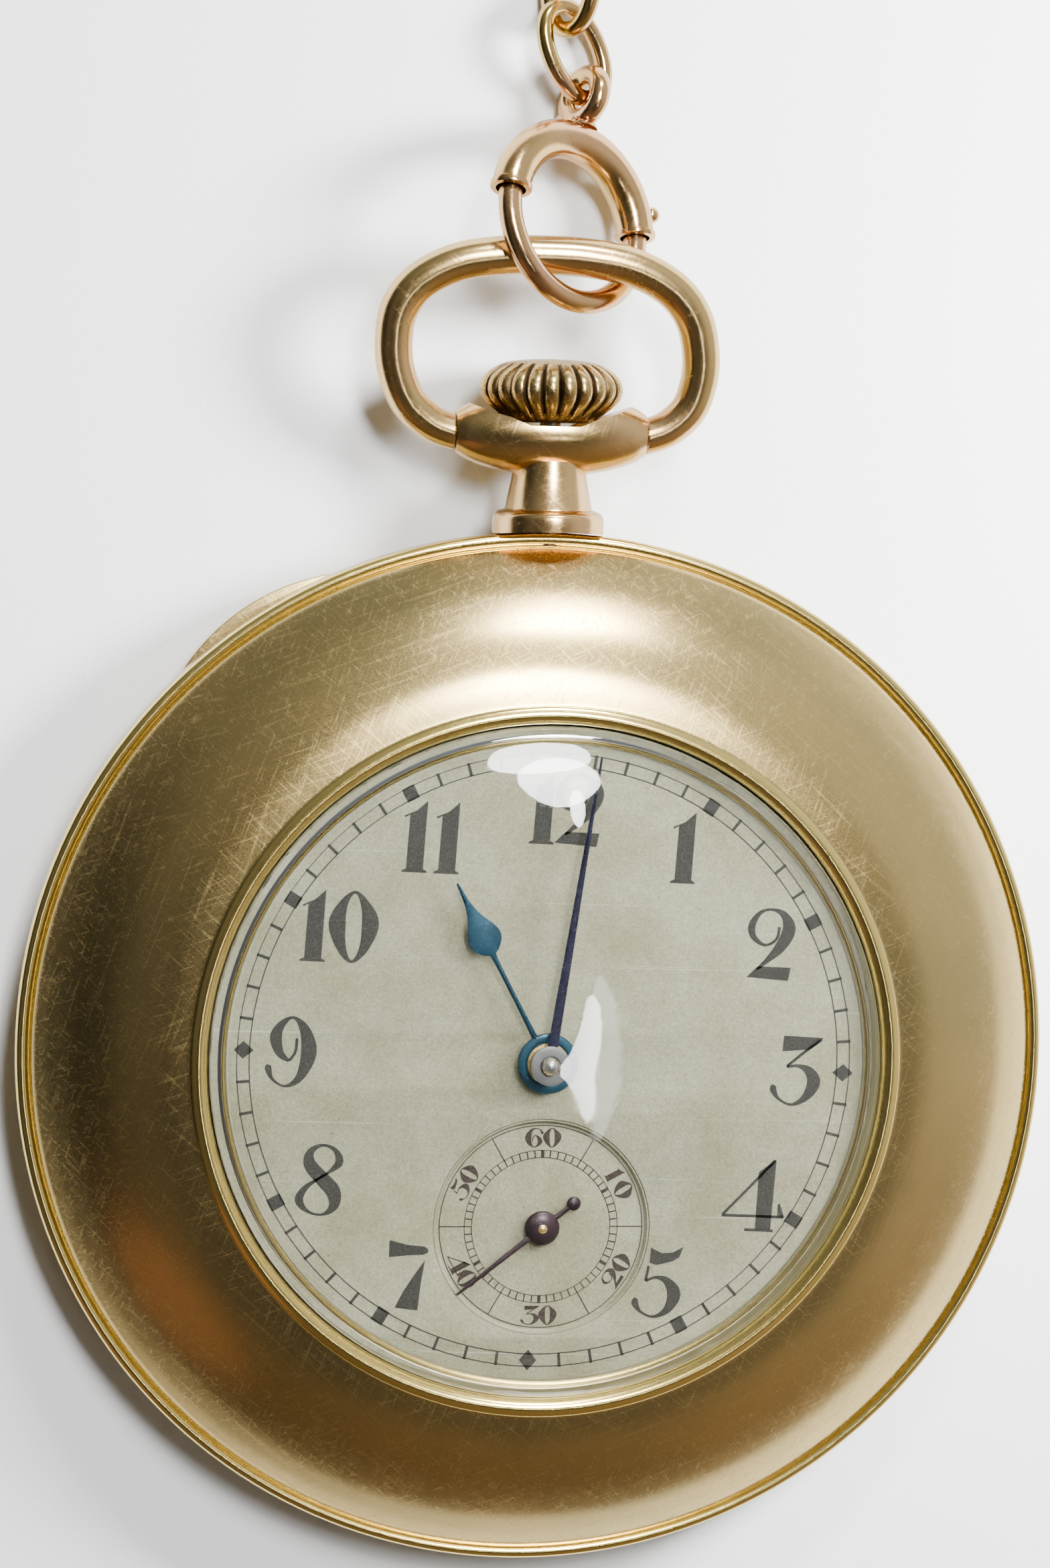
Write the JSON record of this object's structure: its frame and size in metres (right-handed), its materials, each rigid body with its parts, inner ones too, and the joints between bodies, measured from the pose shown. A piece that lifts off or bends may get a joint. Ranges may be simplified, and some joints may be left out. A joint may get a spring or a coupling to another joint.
{
  "type": "open face pocket watch",
  "caption": "Open face pocket watch with a swinging bow, winding crown, hinged back, full keyless movement and a spring bolt ring with chain links.",
  "frame": {"origin": "centre of the flat on the back cover, where the watch rests", "axes": "+Z out through the dial and crystal, +Y towards twelve o'clock and the crown, +X towards three o'clock"},
  "size_m": [0.05, 0.0788, 0.0103],
  "materials": {
    "gold_case": "satin",
    "rose_gold": "polished",
    "crown_gold": "aged",
    "crystal": "polished",
    "dial_silver": "matte",
    "blued_steel": "blued",
    "nickel": "satin",
    "ruby": "polished",
    "movement_brass": "satin",
    "steel": "polished"
  },
  "bodies": {
    "case": {"case_band": "gold_case", "bezel": "gold_case", "crystal": "crystal", "dial_ring": "gold_case", "pendant": "gold_case", "bow_yoke": "gold_case", "back_hinge_pin": "gold_case", "cuvette_hinge_pin": "gold_case", "main_plate": "movement_brass", "barrel_bridge": "nickel", "train_bridge": "nickel", "balance_cock": "nickel", "third_jewel": "ruby", "escape_jewel": "ruby", "balance_jewel": "ruby", "case_screw_left": "steel", "case_screw_right": "steel", "crown_wheel_screw": "steel", "click_spring": "steel", "regulator": "steel", "hairspring": "blued_steel", "dial": "dial_silver", "subdial": "dial_silver"},
    "back": {"back_cover": "gold_case"},
    "inner_back": {"cuvette": "gold_case"},
    "bow": {"bow": "gold_case"},
    "bolt_ring": {"ring_tube": "rose_gold", "ring_spring": "steel"},
    "bolt": {"ring_bolt": "rose_gold"},
    "first_link": {"chain_link_1": "rose_gold"},
    "second_link": {"chain_link_2": "rose_gold"},
    "winding_drive": {"winding_pinion": "steel", "sliding_pinion": "steel"},
    "stem": {"winding_stem": "steel", "crown": "crown_gold"},
    "setting_lever": {"setting_lever": "steel"},
    "crown_wheel": {"crown_wheel": "steel"},
    "ratchet": {"ratchet_wheel": "steel", "ratchet_screw": "steel", "barrel_arbor": "steel"},
    "click": {"click": "steel"},
    "barrel": {"barrel": "movement_brass", "mainspring": "steel"},
    "centre": {"centre_wheel": "movement_brass", "cannon_pinion": "steel", "minute_hand": "blued_steel"},
    "third": {"third_wheel": "movement_brass"},
    "fourth": {"fourth_wheel": "movement_brass", "seconds_hand": "blued_steel"},
    "escape": {"escape_wheel": "steel"},
    "pallets": {"pallet_fork": "steel"},
    "balance": {"balance_wheel": "movement_brass", "balance_staff": "steel"},
    "minute_work": {"minute_wheel": "movement_brass"},
    "hour": {"hour_wheel": "movement_brass", "hour_hand": "blued_steel"}
  },
  "joints": [
    {"name": "back_hinge", "type": "hinge", "parent": "case", "child": "back", "pos_m": [0.0139, -0.0206, 0.00205], "axis": [-0.829, -0.5592, 0], "range_deg": [0, 100]},
    {"name": "inner_back_hinge", "type": "hinge", "parent": "case", "child": "inner_back", "pos_m": [0.01281, -0.01898, 0.00197], "axis": [-0.829, -0.5592, 0], "range_deg": [0, 86]},
    {"name": "bow_swing", "type": "hinge", "parent": "case", "child": "bow", "pos_m": [0, 0.0296, 0.00355], "axis": [1, 0, 0], "range_deg": [-90, 90]},
    {"name": "ring_swing", "type": "hinge", "parent": "bow", "child": "bolt_ring", "pos_m": [0.00056, 0.038, 0.00452], "axis": [1, 0, 0], "range_deg": [-30, 90]},
    {"name": "bolt_slide", "type": "hinge", "parent": "bolt_ring", "child": "bolt", "pos_m": [0.0008, 0.03968, 0.00383], "axis": [0.5486, 0.2494, 0.798], "range_deg": [0, 36], "stiffness_Nm_per_rad": 0.0005, "springref_deg": -17.19},
    {"name": "first_link_swing", "type": "hinge", "parent": "bolt_ring", "child": "first_link", "pos_m": [0.00203, 0.0457, 0.00122], "axis": [-0.7645, -0.4114, 0.4962], "range_deg": [-30, 30]},
    {"name": "second_link_swing", "type": "hinge", "parent": "first_link", "child": "second_link", "pos_m": [0.00001, 0.04982, 0.00152], "axis": [-0.7645, -0.4114, 0.4962], "range_deg": [-60, 60]},
    {"name": "crown_spin", "type": "hinge", "parent": "case", "child": "winding_drive", "pos_m": [0, 0.0155, 0.00355], "axis": [0, 1, 0], "continuous": true},
    {"name": "stem_pull", "type": "slide", "parent": "winding_drive", "child": "stem", "axis": [0, 1, 0], "range_m": [0, 0.0007]},
    {"name": "setting_lever_turn", "type": "hinge", "parent": "case", "child": "setting_lever", "pos_m": [0.0026, 0.0167, 0.004], "axis": [0, 0, 1], "range_deg": [-20.2, 0]},
    {"name": "crown_wheel_spin", "type": "hinge", "parent": "case", "child": "crown_wheel", "pos_m": [0, 0.0126, 0.0015], "axis": [0, 0, 1], "continuous": true},
    {"name": "ratchet_spin", "type": "hinge", "parent": "case", "child": "ratchet", "pos_m": [-0.00608, 0.00608, 0.0015], "axis": [0, 0, 1], "continuous": true},
    {"name": "click_swing", "type": "hinge", "parent": "case", "child": "click", "pos_m": [-0.0133, 0.0036, 0.0015], "axis": [0, 0, 1], "range_deg": [0, 12], "stiffness_Nm_per_rad": 0.00002, "springref_deg": -5.73},
    {"name": "barrel_spin", "type": "hinge", "parent": "case", "child": "barrel", "pos_m": [-0.00608, 0.00608, 0.0035], "axis": [0, 0, 1], "continuous": true},
    {"name": "centre_spin", "type": "hinge", "parent": "case", "child": "centre", "pos_m": [0, 0, 0.003], "axis": [0, 0, 1], "continuous": true},
    {"name": "third_spin", "type": "hinge", "parent": "case", "child": "third", "pos_m": [0.00434, -0.00457, 0.003], "axis": [0, 0, 1], "continuous": true},
    {"name": "seconds_spin", "type": "hinge", "parent": "case", "child": "fourth", "pos_m": [0, -0.00795, 0.003], "axis": [0, 0, 1], "continuous": true},
    {"name": "escape_spin", "type": "hinge", "parent": "case", "child": "escape", "pos_m": [-0.00404, -0.01134, 0.003], "axis": [0, 0, 1], "continuous": true},
    {"name": "pallet_swing", "type": "hinge", "parent": "case", "child": "pallets", "pos_m": [-0.00629, -0.00959, 0.0037], "axis": [0, 0, 1], "range_deg": [-5, 5]},
    {"name": "balance_swing", "type": "hinge", "parent": "case", "child": "balance", "pos_m": [-0.0104, -0.0064, 0.003], "axis": [0, 0, 1], "range_deg": [-150, 150], "stiffness_Nm_per_rad": 0.0000005},
    {"name": "minute_work_spin", "type": "hinge", "parent": "case", "child": "minute_work", "pos_m": [0.00312, -0.0018, 0.0062], "axis": [0, 0, 1], "continuous": true},
    {"name": "hour_spin", "type": "hinge", "parent": "case", "child": "hour", "pos_m": [0, 0, 0.0066], "axis": [0, 0, 1], "continuous": true}
  ],
  "couplings": [
    {"joint": "inner_back_hinge", "follows": "back_hinge", "ratio": 0.85},
    {"joint": "setting_lever_turn", "follows": "stem_pull", "rad_per_m": -500},
    {"joint": "crown_wheel_spin", "follows": "crown_spin", "ratio": 0.5},
    {"joint": "ratchet_spin", "follows": "crown_spin", "ratio": -0.33333},
    {"joint": "centre_spin", "follows": "seconds_spin", "ratio": 0.016667},
    {"joint": "third_spin", "follows": "seconds_spin", "ratio": -0.13333},
    {"joint": "barrel_spin", "follows": "seconds_spin", "ratio": -0.0020833},
    {"joint": "escape_spin", "follows": "seconds_spin", "ratio": -10},
    {"joint": "minute_work_spin", "follows": "seconds_spin", "ratio": -0.0055556},
    {"joint": "hour_spin", "follows": "seconds_spin", "ratio": 0.0013889}
  ]
}
